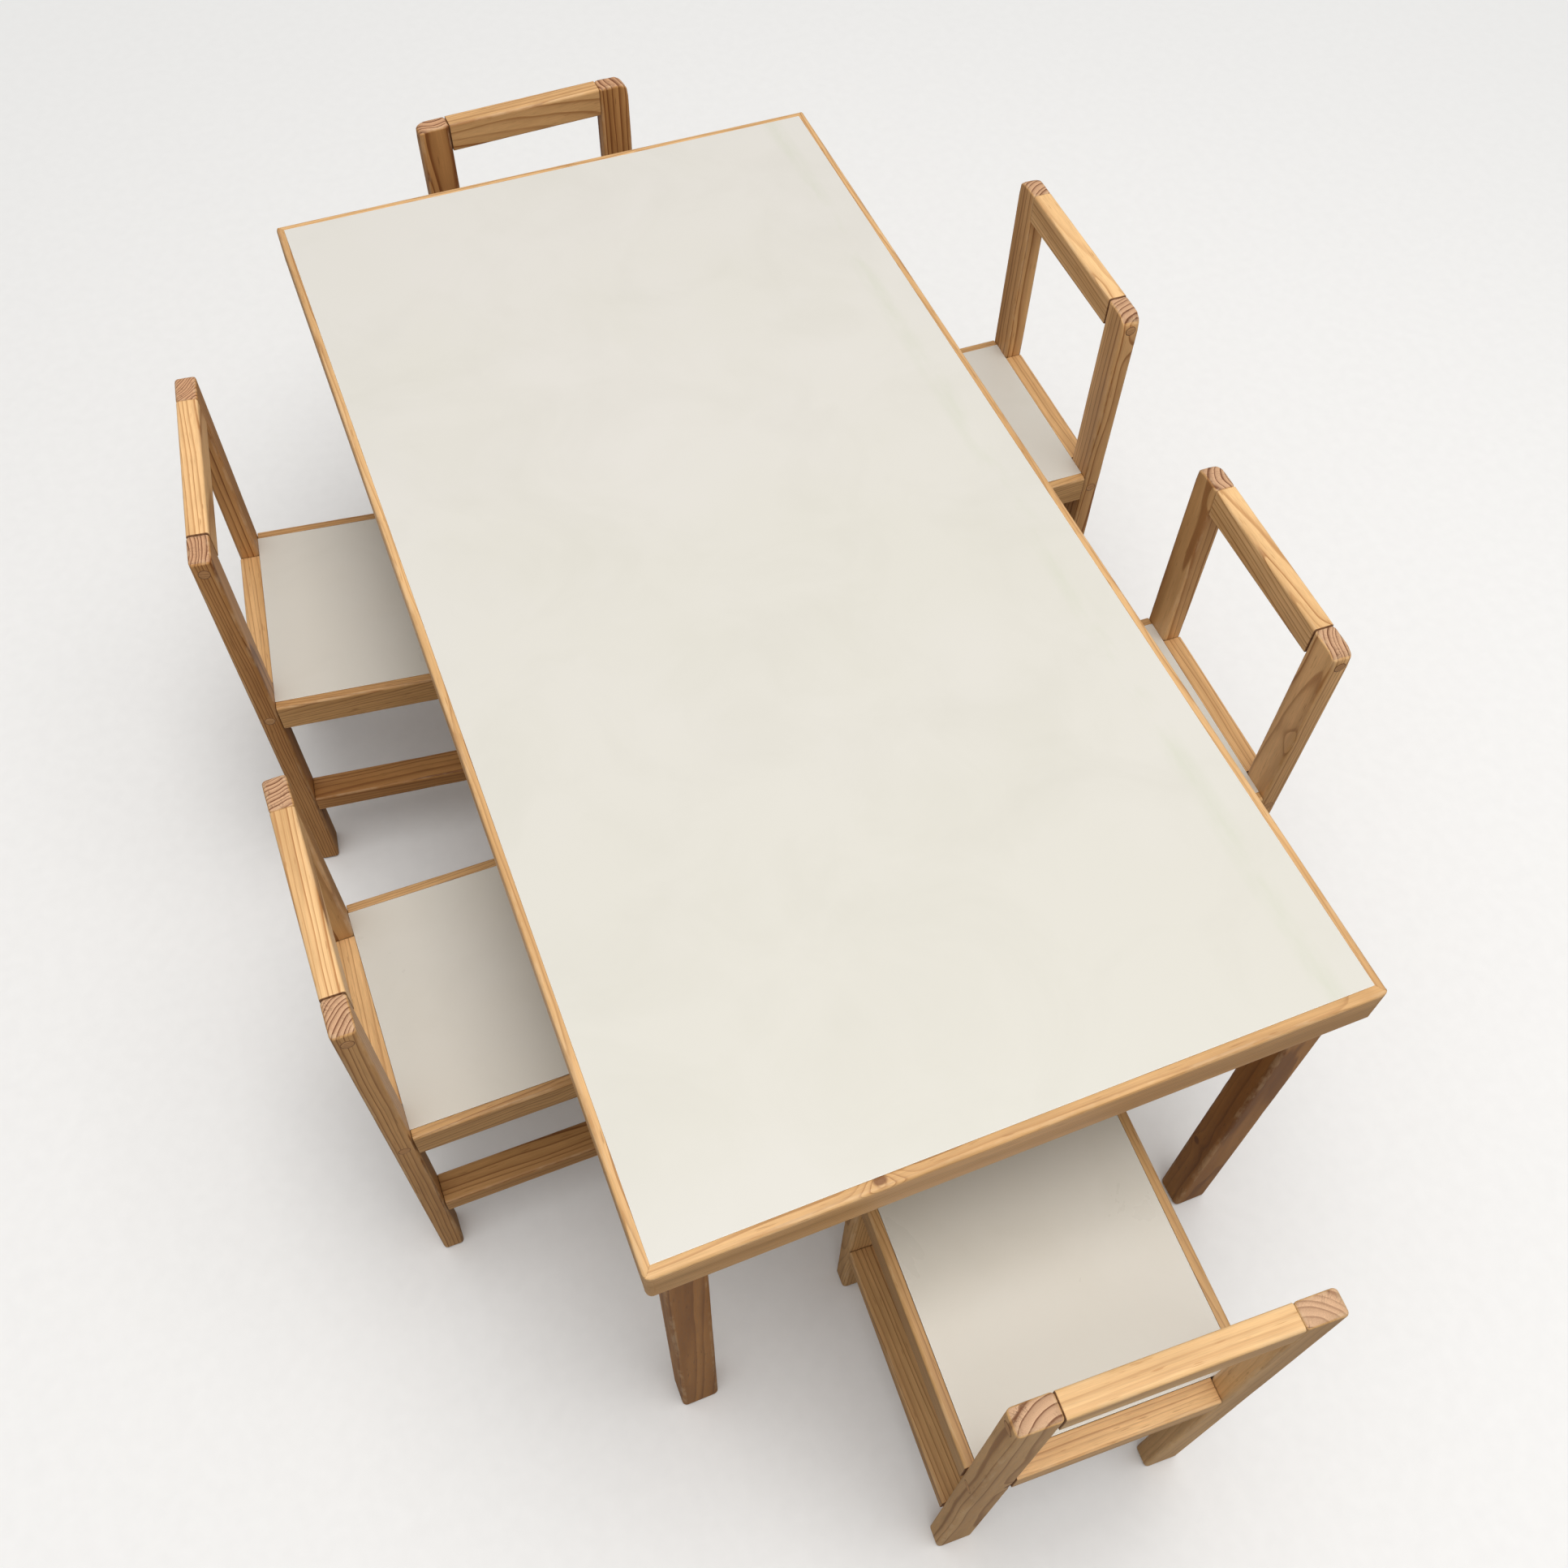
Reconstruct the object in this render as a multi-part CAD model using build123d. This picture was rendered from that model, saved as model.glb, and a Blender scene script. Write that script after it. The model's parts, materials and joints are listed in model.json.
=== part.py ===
"""A child's table for six, with its six chairs drawn up to it.

The table is a frame of four edge rails around a laminate-faced top, on four
legs. Each chair has two tall rear posts, two front legs, a back rail, a seat
frame around a laminate-faced seat, and a stretcher on each side.
All sizes are in millimetres, +X runs along the table, +Z is up, and the
origin is on the floor in the middle of the whole set.
"""
from build123d import *
import os
from math import cos, radians, sin

# ---- Table -------------------------------------------------------------
TABLE_LENGTH = 1200
TABLE_WIDTH = 604
TABLE_HEIGHT = 491
EDGE_RAIL_HEIGHT = 42
EDGE_RAIL_THICKNESS = 15
SIDE_LIP = 7.5            # width of rail that shows beside the top panel
NEAR_LIP = 10.0           # the same on the rail of the near end, a wider one
TOP_THICKNESS = 15
CORNER_ROUND = 5          # the four upright corners of the table edge
EDGE_EASE = 2.5           # the rounded arrises of the table edge
LEG_ALONG = 31            # leg section, along the table
LEG_ACROSS = 36           # leg section, across the table
LEG_EASE = 4
BATTEN_WIDTH = 40
BATTEN_THICKNESS = 20
BATTEN_SPACING = 420
BLOCK_LENGTH = 45         # glued blocks in the corners, behind the legs
BLOCK_WIDTH = 18

# ---- Chair -------------------------------------------------------------
CHAIR_WIDTH = 247
CHAIR_DEPTH = 271.5
BACK_HEIGHT = 507
SEAT_HEIGHT = 286
POST_WIDTH = 35
POST_DEPTH = 20.5
POST_EASE = 2.5
BACK_RAIL_HEIGHT = 32
SEAT_RAIL_HEIGHT = 34
SEAT_RAIL_THICKNESS = 18
SEAT_LIP = 9.75           # width of seat rail that shows beside the seat
SEAT_THICKNESS = 12
STRETCHER_TOP = 119.5
STRETCHER_WIDTH = 31
STRETCHER_HEIGHT = 21

# ---- Fasteners ---------------------------------------------------------
SCREW_RADIUS = 2.0
SCREW_LENGTH = 45
HEAD_RADIUS = 4.0
HEAD_HEIGHT = 2.5
PLUG_RADIUS = 4.5
PLUG_DEPTH = 5
DOWEL_RADIUS = 4.0
DOWEL_LENGTH = 28

# ---- Where each chair stands -------------------------------------------
# side of the table, place along that side from its middle, distance from the
# table's edge out to the chair's rear face, and its turn in degrees
CHAIRS = {
    "chair_far": ("far", 1, 110, 2.3),
    "chair_left_far": ("left", -265, 154.5, -7.2),
    "chair_left_near": ("left", 230, 157, 0.0),
    "chair_right_far": ("right", -259.5, 187, -1.0),
    "chair_right_near": ("right", 192, 150, -1.4),
    "chair_near": ("near", 10.5, 193, -2.7),
}
# the turn, about +Z, of a chair that faces the table squarely from each side
SIDE_TURNS = {"left": 0, "near": 90, "right": 180, "far": -90}

LOW = (Align.MIN, Align.MIN, Align.MIN)
MID = (Align.CENTER, Align.CENTER, Align.MIN)


def block(x_span, y_span, z_span, ease=0):
    """A rectangular stick between three spans, with its edges rounded."""
    size = [high - low for low, high in (x_span, y_span, z_span)]
    stick = Box(*size, align=LOW)
    if ease:
        stick = fillet(stick.edges(), ease)
    return Pos(x_span[0], y_span[0], z_span[0]) * stick


def pin(start, direction, length, radius):
    """A round bar from a point, along a direction."""
    plane = Plane(origin=start, z_dir=direction)
    return plane * Cylinder(radius, length, align=MID)


def mirrored_pair(solid):
    """A piece of a chair and its twin on the other side."""
    return [solid, mirror(solid, about=Plane.YZ)]


def screw(start, direction):
    """A countersunk screw whose head starts at a point."""
    head_end = Vector(*start) + Vector(*direction) * HEAD_HEIGHT
    shank = pin(tuple(head_end), direction, SCREW_LENGTH - HEAD_HEIGHT, SCREW_RADIUS)
    plane = Plane(origin=start, z_dir=direction)
    head = plane * Cone(HEAD_RADIUS, SCREW_RADIUS, HEAD_HEIGHT, align=MID)
    return head + shank


def drill(solids, cutters):
    """The solids with every cutter taken away from them."""
    drilled = []
    for solid in solids:
        for cutter in cutters:
            solid = solid - cutter
        drilled.append(solid)
    return drilled


def chair_parts():
    """One chair, with its rear face on y = 0 and facing +Y."""
    half = CHAIR_WIDTH / 2
    inner = half - POST_WIDTH
    seat_low = SEAT_HEIGHT - SEAT_RAIL_HEIGHT
    leg_back = CHAIR_DEPTH - POST_DEPTH
    panel_low = SEAT_HEIGHT - SEAT_THICKNESS

    post = block((inner, half), (0, POST_DEPTH), (0, BACK_HEIGHT), POST_EASE)
    leg = block((inner, half), (leg_back, CHAIR_DEPTH), (0, seat_low), POST_EASE)
    back_rail = block((-inner, inner), (0, POST_DEPTH),
                      (BACK_HEIGHT - BACK_RAIL_HEIGHT, BACK_HEIGHT))
    stretcher = block((half - STRETCHER_WIDTH, half), (POST_DEPTH, leg_back),
                      (STRETCHER_TOP - STRETCHER_HEIGHT, STRETCHER_TOP))

    seat_front = CHAIR_DEPTH - SEAT_LIP
    panel = block((-half + SEAT_LIP, half - SEAT_LIP), (POST_DEPTH, seat_front),
                  (panel_low, SEAT_HEIGHT))
    side_rail = block((half - SEAT_RAIL_THICKNESS, half), (POST_DEPTH, CHAIR_DEPTH),
                      (seat_low, SEAT_HEIGHT))
    between_rails = half - SEAT_RAIL_THICKNESS
    front_rail = block((-between_rails, between_rails),
                       (CHAIR_DEPTH - SEAT_RAIL_THICKNESS, CHAIR_DEPTH),
                       (seat_low, SEAT_HEIGHT))
    rear_rail = block((-inner, inner), (0, POST_DEPTH), (seat_low, SEAT_HEIGHT))
    side_rails = [rail - panel for rail in mirrored_pair(side_rail)]

    # a plugged screw through each post into the back rail and the rear seat rail
    screws = []
    plugs = []
    for height in (BACK_HEIGHT - BACK_RAIL_HEIGHT / 2, SEAT_HEIGHT - SEAT_RAIL_HEIGHT / 2):
        mouth = (half, POST_DEPTH / 2, height)
        head = (half - PLUG_DEPTH, POST_DEPTH / 2, height)
        plugs += mirrored_pair(pin(mouth, (-1, 0, 0), PLUG_DEPTH, PLUG_RADIUS))
        screws += mirrored_pair(screw(head, (-1, 0, 0)))

    # glued dowels: stretcher into post and leg, side rail onto the front leg
    dowel_x = half - STRETCHER_WIDTH / 2
    dowel_z = STRETCHER_TOP - STRETCHER_HEIGHT / 2
    sink = DOWEL_LENGTH / 2
    dowels = []
    for start_y in (POST_DEPTH - sink, leg_back - sink):
        bar = pin((dowel_x, start_y, dowel_z), (0, 1, 0), DOWEL_LENGTH, DOWEL_RADIUS)
        dowels += mirrored_pair(bar)
    upright = pin((half - SEAT_RAIL_THICKNESS / 2, CHAIR_DEPTH - POST_DEPTH / 2, seat_low - sink),
                  (0, 0, 1), DOWEL_LENGTH, DOWEL_RADIUS)
    dowels += mirrored_pair(upright)

    pins = screws + plugs + dowels
    return {
        "rear_posts": drill(mirrored_pair(post), pins),
        "front_legs": drill(mirrored_pair(leg), dowels),
        "back_rail": drill([back_rail], screws),
        "seat_frame": drill(side_rails, dowels) + drill([rear_rail], screws) + [front_rail - panel],
        "stretchers": drill(mirrored_pair(stretcher), dowels),
        "seat_panel": [panel],
        "screws": screws,
        "plugs_and_dowels": plugs + dowels,
    }


def edge_rail(outline_top, outline_low, envelope):
    """One edge rail: a lip beside the top panel, and a thicker stretch below it."""
    panel_low = TABLE_HEIGHT - TOP_THICKNESS
    rail_low = TABLE_HEIGHT - EDGE_RAIL_HEIGHT
    lip = extrude(make_face(Polyline(*outline_top, close=True)), TOP_THICKNESS, dir=(0, 0, 1))
    body = extrude(make_face(Polyline(*outline_low, close=True)),
                   EDGE_RAIL_HEIGHT - TOP_THICKNESS, dir=(0, 0, 1))
    return (Pos(0, 0, panel_low) * lip + Pos(0, 0, rail_low) * body) & envelope


def table_parts():
    """The table, with the middle of its top over the origin."""
    x = TABLE_LENGTH / 2
    y = TABLE_WIDTH / 2
    rail_low = TABLE_HEIGHT - EDGE_RAIL_HEIGHT
    panel_low = TABLE_HEIGHT - TOP_THICKNESS
    x_inner = x - EDGE_RAIL_THICKNESS
    y_inner = y - EDGE_RAIL_THICKNESS
    panel = block((-x + SIDE_LIP, x - NEAR_LIP), (-y + SIDE_LIP, y - SIDE_LIP),
                  (panel_low, TABLE_HEIGHT))

    envelope = block((-x, x), (-y, y), (rail_low, TABLE_HEIGHT))
    envelope = fillet(envelope.edges().filter_by(Axis.Z), CORNER_ROUND)
    rims = envelope.faces().sort_by(Axis.Z)
    envelope = fillet(rims[-1].edges() + rims[0].edges(), EDGE_EASE)

    outer = {(sx, sy): (sx * x, sy * y) for sx in (-1, 1) for sy in (-1, 1)}
    lips = {-1: SIDE_LIP, 1: NEAR_LIP}
    top = {(sx, sy): (sx * (x - lips[sx]), sy * (y - SIDE_LIP)) for sx, sy in outer}
    low = {(sx, sy): (sx * x_inner, sy * y_inner) for sx, sy in outer}
    ends = {
        "near_rail": ((1, -1), (1, 1)),
        "far_rail": ((-1, -1), (-1, 1)),
        "left_rail": ((-1, -1), (1, -1)),
        "right_rail": ((-1, 1), (1, 1)),
    }
    parts = {"top_panel": [panel]}
    for name, (a, b) in ends.items():
        rail = edge_rail((outer[a], outer[b], top[b], top[a]),
                         (outer[a], outer[b], low[b], low[a]), envelope)
        parts[name] = [rail]

    blocks = []
    dowels = []
    for end_name, sx in (("near", 1), ("far", -1)):
        for side_name, sy in (("left", -1), ("right", 1)):
            x_span = sorted((sx * (x_inner - LEG_ALONG), sx * x_inner))
            y_span = sorted((sy * (y_inner - LEG_ACROSS), sy * y_inner))
            leg = block(x_span, y_span, (0, panel_low), LEG_EASE)
            # two dowels tie each leg to its side rail
            bars = []
            for share in (0.3, 0.7):
                bar_x = x_span[0] + share * LEG_ALONG
                bar_z = rail_low + share * (panel_low - rail_low)
                start = (bar_x, sy * (y - EDGE_RAIL_THICKNESS / 2), bar_z)
                bars.append(pin(start, (0, -sy, 0), DOWEL_LENGTH, DOWEL_RADIUS))
            parts["leg_" + end_name + "_" + side_name] = drill([leg], bars)
            rail_name = side_name + "_rail"
            parts[rail_name] = drill(parts[rail_name], bars)
            dowels += bars
            block_x = sorted((sx * (x_inner - LEG_ALONG - BLOCK_LENGTH),
                              sx * (x_inner - LEG_ALONG)))
            block_y = sorted((sy * (y_inner - BLOCK_WIDTH), sy * y_inner))
            blocks.append(block(block_x, block_y, (rail_low + 2, panel_low)))

    battens = []
    screws = []
    for place in (-1, 0, 1):
        mid = place * BATTEN_SPACING
        batten = block((mid - BATTEN_WIDTH / 2, mid + BATTEN_WIDTH / 2), (-y_inner, y_inner),
                       (panel_low - BATTEN_THICKNESS, panel_low))
        bars = []
        for across in (-0.38, 0, 0.38):
            start = (mid, across * TABLE_WIDTH, panel_low - BATTEN_THICKNESS)
            head = Plane(origin=start) * Cone(HEAD_RADIUS, SCREW_RADIUS, HEAD_HEIGHT, align=MID)
            shank = pin((start[0], start[1], start[2] + HEAD_HEIGHT), (0, 0, 1),
                        BATTEN_THICKNESS + TOP_THICKNESS / 2 - HEAD_HEIGHT, SCREW_RADIUS)
            bars.append(head + shank)
        battens += drill([batten], bars)
        screws += bars
    parts["top_panel"] = drill(parts["top_panel"], screws)
    parts["battens"] = battens
    parts["corner_blocks"] = blocks
    parts["fasteners"] = screws + dowels
    return parts


def chair_place(side, along, reach, turn):
    """Where a chair stands, measured from the middle of the table."""
    out_x = TABLE_LENGTH / 2 + reach
    out_y = TABLE_WIDTH / 2 + reach
    spot = {"left": (along, -out_y), "right": (along, out_y),
            "near": (out_x, along), "far": (-out_x, along)}[side]
    return spot[0], spot[1], SIDE_TURNS[side] + turn


def set_middle():
    """The middle of the whole set's footprint, measured from the table's middle."""
    xs = [-TABLE_LENGTH / 2, TABLE_LENGTH / 2]
    ys = [-TABLE_WIDTH / 2, TABLE_WIDTH / 2]
    for stand in CHAIRS.values():
        x, y, heading = chair_place(*stand)
        for across in (-CHAIR_WIDTH / 2, CHAIR_WIDTH / 2):
            for ahead in (0, CHAIR_DEPTH):
                c = cos(radians(heading))
                s = sin(radians(heading))
                xs.append(x + across * c - ahead * s)
                ys.append(y + across * s + ahead * c)
    return (min(xs) + max(xs)) / 2, (min(ys) + max(ys)) / 2


def main():
    """Build every piece, and write one file for each."""
    os.makedirs("parts", exist_ok=True)
    middle_x, middle_y = set_middle()
    to_origin = Pos(-middle_x, -middle_y, 0)
    pieces = {"table_" + name: [to_origin * s for s in solids]
              for name, solids in table_parts().items()}
    one_chair = chair_parts()
    for chair, stand in CHAIRS.items():
        x, y, heading = chair_place(*stand)
        place = to_origin * Pos(x, y, 0) * Rot(0, 0, heading)
        for name, solids in one_chair.items():
            pieces[chair + "_" + name] = [place * s for s in solids]
    for name, solids in pieces.items():
        shape = solids[0] if len(solids) == 1 else Compound(children=solids)
        export_step(shape, "parts/" + name + ".step")


if __name__ == "__main__":
    main()
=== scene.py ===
"""The looks of a child's table and its six chairs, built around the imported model.

Every wooden member is a rounded stick with its own place in a log, so that one
pine material draws growth rings on its faces and arcs on its ends.
Lengths are in metres, and colours are linear.
"""

import json
import math
import random

import bpy
import numpy as np
from mathutils import Matrix, Vector

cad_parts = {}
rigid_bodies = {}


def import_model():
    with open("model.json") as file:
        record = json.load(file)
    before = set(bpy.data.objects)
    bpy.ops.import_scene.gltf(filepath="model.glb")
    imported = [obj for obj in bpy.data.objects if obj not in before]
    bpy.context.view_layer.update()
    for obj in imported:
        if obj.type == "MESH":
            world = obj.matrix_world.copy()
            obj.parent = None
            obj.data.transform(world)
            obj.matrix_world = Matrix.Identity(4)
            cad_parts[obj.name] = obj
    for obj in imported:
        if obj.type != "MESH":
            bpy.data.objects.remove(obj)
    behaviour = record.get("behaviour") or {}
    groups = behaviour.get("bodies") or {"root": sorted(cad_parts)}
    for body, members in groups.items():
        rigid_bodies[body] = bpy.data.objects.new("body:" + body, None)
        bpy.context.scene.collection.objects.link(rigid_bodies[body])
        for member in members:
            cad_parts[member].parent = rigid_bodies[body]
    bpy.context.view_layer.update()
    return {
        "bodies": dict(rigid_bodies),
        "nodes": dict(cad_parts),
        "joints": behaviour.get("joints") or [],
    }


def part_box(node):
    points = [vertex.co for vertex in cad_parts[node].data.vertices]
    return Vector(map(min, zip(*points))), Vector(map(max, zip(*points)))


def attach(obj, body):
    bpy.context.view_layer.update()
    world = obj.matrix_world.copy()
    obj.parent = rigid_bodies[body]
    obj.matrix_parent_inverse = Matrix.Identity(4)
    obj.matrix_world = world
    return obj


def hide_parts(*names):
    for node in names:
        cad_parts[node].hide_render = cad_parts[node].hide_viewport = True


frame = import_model()

CHAIR_NAMES = [body for body in frame["bodies"] if body != "table"]
SQUARE_CHAIR = "chair_left_near"      # this chair stands square, so its boxes give true sizes

# sizes that no box shows
STRETCHER_WIDTH = 0.031
SEAT_RAIL_THICKNESS = 0.018
TABLE_RAIL_THICKNESS = 0.015
TABLE_CORNER_ROUND = 0.0065
PLUG_RADIUS = 0.0045
PLUG_GROOVE = 0.0012

# how wood and laminate are eased, and how far their faces stand back from the CAD box
POST_ROUND = 0.0034
OUTER_ROUND = 0.0042                  # on the outer side of a post
END_ROUND = 0.0026                    # on the ends of a post
RAIL_ROUND = 0.0028
TIGHT_ROUND = 0.0005
STRETCHER_ROUND = 0.002
BLOCK_ROUND = 0.0012                  # battens and corner blocks
TABLE_LEG_ROUND = 0.0045
SEAT_RAIL_ROUNDS = (0.0015, 0.0022)   # lower and upper edges
LIP_ROUND = 0.0003                    # where wood meets laminate
LAMINATE_ROUND = 0.0002
SKIN = 0.0001
RAIL_CHAMFER = 0.0006                 # along the table rails' lower inner edge
EDGE_STRIP = 0.0012                   # narrow strip of faces beside a rounded edge
TIGHT = (TIGHT_ROUND, TIGHT_ROUND)

# how the points of an edge are marked for the materials
# rounded arrises: dented as wear, and painted paler, partly wear and partly painted highlight
WORN_AND_HIGHLIGHT_EDGE = 1.0
LIP_EDGE = 0.3                        # beside laminate
JOINT_EDGE = -1.0                     # where wood meets wood
LIP_BELOW = 0.00035                   # smaller rounds than this are lips
JOINT_BELOW = 0.001                   # and smaller rounds than this are joints

# one large round light overhead, and the room's own light from below to above
LIGHT_PLACE = Vector((0.75, 0.3, 4.1))
LIGHT_AIM = Vector((0, 0, 0.3))
LIGHT_WIDTH = 3.2
LIGHT_POWER = 86
LIGHT_COLOUR = (1.0, 0.99, 0.97)
ROOM_COLOURS = ((0.30, 0.297, 0.29, 1), (0.80, 0.79, 0.775, 1))

# the floor, and where it turns to backdrop, in metres from the middle
FLOOR_REACH = 14
FLOOR_DROP = 0.0002                   # below the feet, so that faces don't coincide
FLOOR_BOUNCE = (0.32, 0.32 * 0.96, 0.32 * 0.9, 1)
BACKDROP = (0.86, 0.86, 0.85, 1)
FADE_START = 1.3
FADE_END = 4.0

# pine, from the palest stick to the darkest, and its end grain from earlywood to latewood
EARLY_WOOD = ((0.88, 0.58, 0.29, 1), (0.455, 0.25, 0.088, 1))
LATE_WOOD = ((0.47, 0.215, 0.070, 1), (0.175, 0.070, 0.020, 1))
KNOT_WOOD = ((0.30, 0.12, 0.04, 1), (0.13, 0.045, 0.018, 1))
END_WOOD = ((0.76, 0.48, 0.29, 1), (0.22, 0.09, 0.038, 1))
REDDEST = (1.04, 0.87, 0.74, 1)       # what the reddest stick's colours are multiplied by
CRACK_COLOUR = (0.12, 0.05, 0.025, 1)
# the paler arrises are partly wear and partly painted highlight
WORN_AND_HIGHLIGHT_COLOUR = (0.84, 0.62, 0.38, 1)
JOINT_COLOUR = (0.13, 0.055, 0.027, 1)

# marks on laminate, and the painted highlight along its edges
SPECK_COLOUR = (0.33, 0.27, 0.19, 1)
SMEAR_COLOUR = (0.60, 0.62, 0.50, 1)
# a painted highlight along the edges of the laminate
EDGE_HIGHLIGHT_COLOUR = (1.0, 0.97, 0.90, 1)

# camera, measured from the middle of the table on the floor
CAMERA_PLACE = Vector((0.9052, -0.3411, 1.5512))
CAMERA_HEADING = -66.15               # degrees from +Y, below 0 towards -X
CAMERA_DROP = 57.85                   # degrees below the horizon
CAMERA_ROLL = 2.33                    # degrees
CAMERA_LENS = 35.45                   # millimetres
CAMERA_SHIFT = (-0.0045, 0.0281)

rng = random.Random(7)


# ---- Meshes --------------------------------------------------------------

def ticks(low, high, round_low, round_high, step):
    """Places along one axis of a rounded box: fine inside its rounded edges."""
    fan = [math.tan(math.radians(a)) for a in (45, 30, 15)]
    places = [low + round_low * (1 - t) for t in fan] + [low + round_low]
    inner_low = low + round_low + EDGE_STRIP
    inner_high = high - round_high - EDGE_STRIP
    places.append(inner_low)
    count = max(1, round((inner_high - inner_low) / step))
    places += [inner_low + (inner_high - inner_low) * i / count for i in range(1, count)]
    places.append(inner_high)
    places += [high - round_high] + [high - round_high * (1 - t) for t in reversed(fan)]
    return places


def rounded_box(spans, rounds, step):
    """Corners, quads, each quad's side (0 to 5), and the kind of edge at each corner, or 0."""
    axes = [ticks(s[0], s[1], r[0], r[1], t) for s, r, t in zip(spans, rounds, step)]
    last = [len(a) - 1 for a in axes]
    index = {}
    points = []

    def corner(key):
        if key not in index:
            index[key] = len(points)
            points.append([axes[a][key[a]] for a in range(3)])
        return index[key]

    quads = []
    sides = []
    for axis in range(3):
        u, v = (axis + 1) % 3, (axis + 2) % 3
        for end in (0, 1):
            for i in range(last[u]):
                for j in range(last[v]):
                    ring = [(i, j), (i + 1, j), (i + 1, j + 1), (i, j + 1)]
                    if end == 0:
                        ring.reverse()
                    quad = []
                    for iu, iv in ring:
                        key = [0, 0, 0]
                        key[axis] = last[axis] * end
                        key[u], key[v] = iu, iv
                        quad.append(corner(tuple(key)))
                    quads.append(quad)
                    sides.append(axis * 2 + end)
    points = np.array(points)
    core_low = np.array([s[0] + r[0] for s, r in zip(spans, rounds)])
    core_high = np.array([s[1] - r[1] for s, r in zip(spans, rounds)])
    core = np.clip(points, core_low, core_high)
    radius = np.where(points < core, [r[0] for r in rounds], [r[1] for r in rounds])
    off = (points - core) / radius
    length = np.linalg.norm(off, axis=1)
    scale = np.where(length > 1e-9, 1 / np.maximum(length, 1e-9), 0)
    rounded = core + off * scale[:, None] * radius
    turned = np.abs(off) > 1e-6
    smallest = np.where(turned, radius, 1.0).min(axis=1)
    kind = np.select([smallest < LIP_BELOW, smallest < JOINT_BELOW], [LIP_EDGE, JOINT_EDGE], WORN_AND_HIGHLIGHT_EDGE)
    edge = np.where(turned.sum(axis=1) >= 2, kind, 0.0)
    return rounded, quads, sides, edge


def wave(points, seed, length):
    """A smooth random value between -1 and 1 at each point."""
    source = random.Random(seed)
    total = np.zeros(len(points))
    for _ in range(5):
        way = Vector([source.gauss(0, 1) for _ in range(3)]).normalized()
        size = 2 * math.pi / (length * source.uniform(0.5, 1.6))
        total += np.sin(points @ np.array(way) * size + source.uniform(0, 6.28))
    return total / 5


class Stick:
    """One member in its piece's own frame, with its place in the log.

    along is the axis of its length, rounds the (low, high) radii of its edges across each axis,
    and step how far apart its points are. ring is the width of a year, pith the (angle, distance)
    of the log's middle, and lean the log's slope against the stick. tone runs from pale to dark,
    figure is how strong the rings are, red how reddish the wood is, and wear how dented its edges.
    """

    def __init__(self, spans, along, rounds, ring=0.003, pith=None, tone=0.5, figure=0.8,
                 red=0.3, step=None, wear=1.0, lean=None):
        spans = [(low + SKIN, high - SKIN) for low, high in spans]
        if step is None:
            step = [0.011 if axis == along else 0.005 for axis in range(3)]
        self.points, self.quads, sides, self.edge = rounded_box(spans, rounds, step)
        self.end = [1.0 if side // 2 == along else 0.0 for side in sides]
        seed = rng.randrange(10 ** 6)
        self.soften(seed, wear)
        middle = np.array([(low + high) / 2 for low, high in spans])
        across = [a for a in range(3) if a != along]
        local = self.points - middle
        grain = np.stack([local[:, across[0]], local[:, across[1]], local[:, along]], axis=1)
        angle, distance = pith or (rng.uniform(0, 360), rng.uniform(0.02, 0.07))
        grain[:, 0] += distance * math.cos(math.radians(angle))
        grain[:, 1] += distance * math.sin(math.radians(angle))
        # the log leans a little against the stick, so rings run out of its faces
        lean = lean or (rng.uniform(-0.05, 0.05), rng.uniform(-0.05, 0.05))
        grain[:, 0] += grain[:, 2] * lean[0]
        grain[:, 1] += grain[:, 2] * lean[1]
        grain[:, 2] += rng.uniform(1, 30)
        self.grain = grain
        self.wood = [tone, ring, figure, red]

    def round_shoulder(self, side, drop, reach=0.012):
        """Rub the top of a post down towards its outer side, -1 or 1 along x, and its back."""
        outer = (self.points[:, 0] * side).max()
        top = self.points[:, 2].max()
        sideways = np.clip((self.points[:, 0] * side - (outer - reach)) / reach, 0, 1)
        backwards = np.clip((reach - self.points[:, 1]) / reach, 0, 1)
        upwards = np.clip((self.points[:, 2] - (top - 2 * reach)) / (2 * reach), 0, 1)
        self.points[:, 2] -= drop * (sideways ** 2 + 0.5 * sideways * backwards ** 2) * upwards
        self.points[:, 0] -= side * 0.35 * drop * sideways * upwards ** 3

    def soften(self, seed, wear):
        """Press the surface in a little, more along its edges, as handling does."""
        middle = (self.points.min(0) + self.points.max(0)) / 2
        inwards = middle - self.points
        inwards /= np.maximum(np.linalg.norm(inwards, axis=1), 1e-9)[:, None]
        dents = 0.5 + 0.5 * wave(self.points, seed, 0.05)
        fine = 0.5 + 0.5 * wave(self.points, seed + 1, 0.011)
        depth = np.maximum(self.edge, 0) * wear * (0.0004 * dents ** 2 + 0.0005 * fine ** 3)
        self.points = self.points + inwards * depth[:, None]


def tag_wood(mesh, grain, wood, edge, end):
    """Store what the materials read: wood is (tone, ring, figure, red) at each point."""
    mesh.attributes.new("grain", "FLOAT_VECTOR", "POINT").data.foreach_set(
        "vector", np.array(grain, np.float32).ravel())
    mesh.attributes.new("wood", "FLOAT_COLOR", "POINT").data.foreach_set(
        "color", np.array(wood, np.float32).ravel())
    mesh.attributes.new("edge", "FLOAT", "POINT").data.foreach_set("value", edge)
    mesh.attributes.new("end", "FLOAT", "FACE").data.foreach_set("value", end)


def link_piece(name, mesh, material, body, node=None):
    """Make the object, tie it to its body and finish, and hide the CAD node it stands for, if any."""
    mesh.shade_smooth()
    mesh.materials.append(material)
    piece = bpy.data.objects.new(name, mesh)
    bpy.context.scene.collection.objects.link(piece)
    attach(piece, body)
    if node:
        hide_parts(node)


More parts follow.
